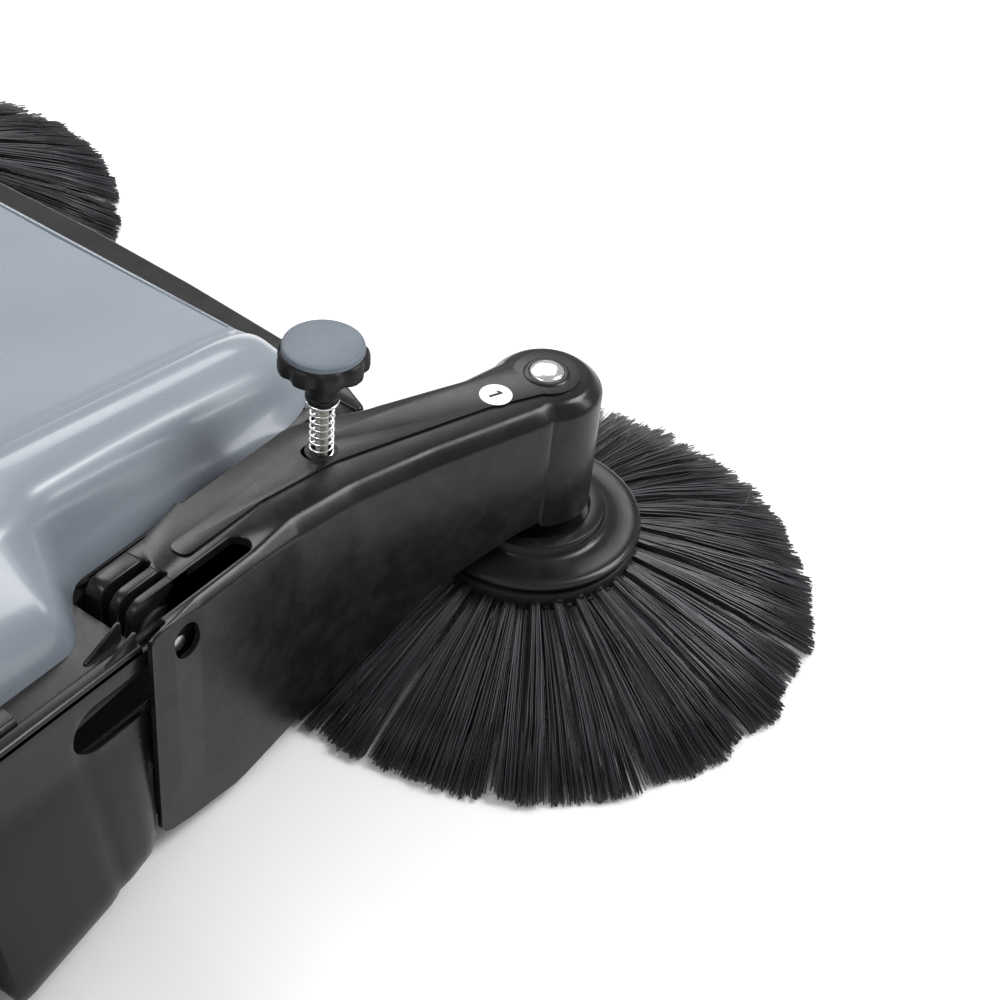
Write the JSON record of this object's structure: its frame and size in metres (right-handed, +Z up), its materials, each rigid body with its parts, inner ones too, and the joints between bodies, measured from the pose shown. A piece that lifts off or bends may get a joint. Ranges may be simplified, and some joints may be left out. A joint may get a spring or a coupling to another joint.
{
  "type": "push floor sweeper",
  "caption": "Walk-behind push floor sweeper with two hinged side brushes, a wheel-driven roller brush, a lift-off dust bin and a folding handle.",
  "frame": {"origin": "on the floor, under the middle of the machine's overall box", "axes": "+Z up, the machine drives towards -Y, its right-hand side is at -X"},
  "size_m": [1.054, 1.35, 1],
  "materials": {
    "shell_black": "satin moulded",
    "cover_grey": "gloss",
    "knob_grey": "satin",
    "bristle": "filament",
    "drive_plastic": "satin",
    "tyre_rubber": "matt",
    "hub_grey": "satin",
    "belt_rubber": "matt",
    "grip_rubber": "matt",
    "steel": "turned",
    "zinc_steel": "bright",
    "painted_tube": "powder coat"
  },
  "bodies": {
    "chassis": {"chassis_deck": "shell_black", "side_panel_right": "shell_black", "side_panel_left": "shell_black", "front_beam": "shell_black", "top_cover": "cover_grey", "arm_hinge_pins": "steel", "stub_axles": "steel", "wheel_belt_right": "belt_rubber", "wheel_belt_left": "belt_rubber", "roller_belt": "belt_rubber", "roller_bearings": "drive_plastic", "handle_brackets": "painted_tube"},
    "wheel_right": {"tyre_right": "tyre_rubber", "wheel_hub_right": "hub_grey", "drive_gear": "drive_plastic"},
    "wheel_left": {"tyre_left": "tyre_rubber", "wheel_hub_left": "hub_grey", "drive_pulley_left": "drive_plastic"},
    "pinion": {"pinion_pulley": "drive_plastic"},
    "roller": {"roller_core": "drive_plastic", "roller_bristles": "bristle", "roller_shaft": "steel", "roller_pulley": "drive_plastic"},
    "hinge_pulley_right": {"hinge_pulley_right": "drive_plastic"},
    "arm_right": {"arm_housing_right": "shell_black", "arm_belt_right": "belt_rubber", "spring_washer_right": "shell_black", "head_cap_right": "zinc_steel"},
    "side_brush_right": {"side_brush_bristles_right": "bristle", "bristle_ring_right": "shell_black", "brush_flange_right": "shell_black", "brush_spindle_right": "drive_plastic"},
    "spring_seat_right": {"spring_seat_right": "shell_black", "adjuster_spring_right": "steel"},
    "adjuster_right": {"adjuster_knob_right": "shell_black", "knob_disc_right": "knob_grey", "adjuster_rod_right": "steel"},
    "clamp_knob_right": {"clamp_knob_right": "shell_black"},
    "hinge_pulley_left": {"hinge_pulley_left": "drive_plastic"},
    "arm_left": {"arm_housing_left": "shell_black", "arm_belt_left": "belt_rubber", "spring_washer_left": "shell_black", "head_cap_left": "zinc_steel"},
    "side_brush_left": {"side_brush_bristles_left": "bristle", "bristle_ring_left": "shell_black", "brush_flange_left": "shell_black", "brush_spindle_left": "drive_plastic"},
    "spring_seat_left": {"spring_seat_left": "shell_black", "adjuster_spring_left": "steel"},
    "adjuster_left": {"adjuster_knob_left": "shell_black", "knob_disc_left": "knob_grey", "adjuster_rod_left": "steel"},
    "clamp_knob_left": {"clamp_knob_left": "shell_black"},
    "caster": {"caster_fork": "zinc_steel", "caster_axle": "steel"},
    "caster_wheel": {"caster_wheel": "grip_rubber"},
    "handle": {"handle_bar": "painted_tube", "handle_grips": "grip_rubber"},
    "bin": {"dust_bin": "shell_black"},
    "bin_handle": {"bin_handle": "hub_grey"}
  },
  "joints": [
    {"name": "wheel_right_spin", "type": "hinge", "parent": "chassis", "child": "wheel_right", "pos_m": [-0.324, 0.125, 0.125], "axis": [1, 0, 0], "continuous": true},
    {"name": "wheel_left_spin", "type": "hinge", "parent": "chassis", "child": "wheel_left", "pos_m": [0.324, 0.125, 0.125], "axis": [1, 0, 0], "continuous": true},
    {"name": "pinion_spin", "type": "hinge", "parent": "chassis", "child": "pinion", "pos_m": [-0.264, 0.0818, 0.125], "axis": [1, 0, 0], "continuous": true},
    {"name": "roller_spin", "type": "hinge", "parent": "chassis", "child": "roller", "pos_m": [0, -0.045, 0.09], "axis": [1, 0, 0], "continuous": true},
    {"name": "hinge_pulley_right_spin", "type": "hinge", "parent": "chassis", "child": "hinge_pulley_right", "pos_m": [-0.286, -0.179, 0.15], "axis": [1, 0, 0], "continuous": true},
    {"name": "arm_right_lift", "type": "hinge", "parent": "chassis", "child": "arm_right", "pos_m": [-0.27, -0.179, 0.15], "axis": [-1, 0, 0], "range_deg": [0, 6]},
    {"name": "side_brush_right_spin", "type": "hinge", "parent": "arm_right", "child": "side_brush_right", "pos_m": [-0.327, -0.475, 0], "axis": [0, 0, 1], "continuous": true},
    {"name": "adjuster_right_travel", "type": "slide", "parent": "chassis", "child": "spring_seat_right", "axis": [0, 0, 1], "range_m": [0, 0.005], "deforming": ["adjuster_spring_right"]},
    {"name": "adjuster_right_turn", "type": "hinge", "parent": "spring_seat_right", "child": "adjuster_right", "pos_m": [-0.272, -0.326, 0.2], "axis": [0, 0, 1], "range_deg": [0, 1440]},
    {"name": "clamp_knob_right_turn", "type": "hinge", "parent": "chassis", "child": "clamp_knob_right", "pos_m": [-0.27, 0.165, 0.195], "axis": [1, 0, 0], "range_deg": [-360, 360]},
    {"name": "hinge_pulley_left_spin", "type": "hinge", "parent": "chassis", "child": "hinge_pulley_left", "pos_m": [0.286, -0.179, 0.15], "axis": [1, 0, 0], "continuous": true},
    {"name": "arm_left_lift", "type": "hinge", "parent": "chassis", "child": "arm_left", "pos_m": [0.27, -0.179, 0.15], "axis": [-1, 0, 0], "range_deg": [0, 6]},
    {"name": "side_brush_left_spin", "type": "hinge", "parent": "arm_left", "child": "side_brush_left", "pos_m": [0.327, -0.475, 0], "axis": [0, 0, 1], "continuous": true},
    {"name": "adjuster_left_travel", "type": "slide", "parent": "chassis", "child": "spring_seat_left", "axis": [0, 0, 1], "range_m": [0, 0.005], "deforming": ["adjuster_spring_left"]},
    {"name": "adjuster_left_turn", "type": "hinge", "parent": "spring_seat_left", "child": "adjuster_left", "pos_m": [0.272, -0.326, 0.2], "axis": [0, 0, 1], "range_deg": [0, 1440]},
    {"name": "clamp_knob_left_turn", "type": "hinge", "parent": "chassis", "child": "clamp_knob_left", "pos_m": [0.27, 0.165, 0.195], "axis": [1, 0, 0], "range_deg": [-360, 360]},
    {"name": "caster_swivel", "type": "hinge", "parent": "chassis", "child": "caster", "pos_m": [0, -0.34, 0.08], "axis": [0, 0, 1], "continuous": true},
    {"name": "caster_roll", "type": "hinge", "parent": "caster", "child": "caster_wheel", "pos_m": [0, -0.318, 0.032], "axis": [1, 0, 0], "continuous": true},
    {"name": "handle_fold", "type": "hinge", "parent": "chassis", "child": "handle", "pos_m": [0, 0.165, 0.195], "axis": [1, 0, 0], "range_deg": [-20, 100]},
    {"name": "bin_slide", "type": "slide", "parent": "chassis", "child": "bin", "axis": [0, 1, 0], "range_m": [0, 0.26]},
    {"name": "bin_handle_swing", "type": "hinge", "parent": "bin", "child": "bin_handle", "pos_m": [0, 0.205, 0.215], "axis": [-1, 0, 0], "range_deg": [0, 100]}
  ],
  "couplings": [
    {"joint": "pinion_spin", "follows": "wheel_right_spin", "ratio": -2},
    {"joint": "roller_spin", "follows": "wheel_right_spin", "ratio": -2},
    {"joint": "hinge_pulley_right_spin", "follows": "wheel_right_spin", "ratio": 2},
    {"joint": "side_brush_right_spin", "follows": "wheel_right_spin", "ratio": 2.8},
    {"joint": "adjuster_right_turn", "follows": "adjuster_right_travel", "rad_per_m": 5026.5},
    {"joint": "hinge_pulley_left_spin", "follows": "wheel_left_spin", "ratio": 2},
    {"joint": "side_brush_left_spin", "follows": "wheel_left_spin", "ratio": -2.8},
    {"joint": "adjuster_left_turn", "follows": "adjuster_left_travel", "rad_per_m": 5026.5}
  ]
}
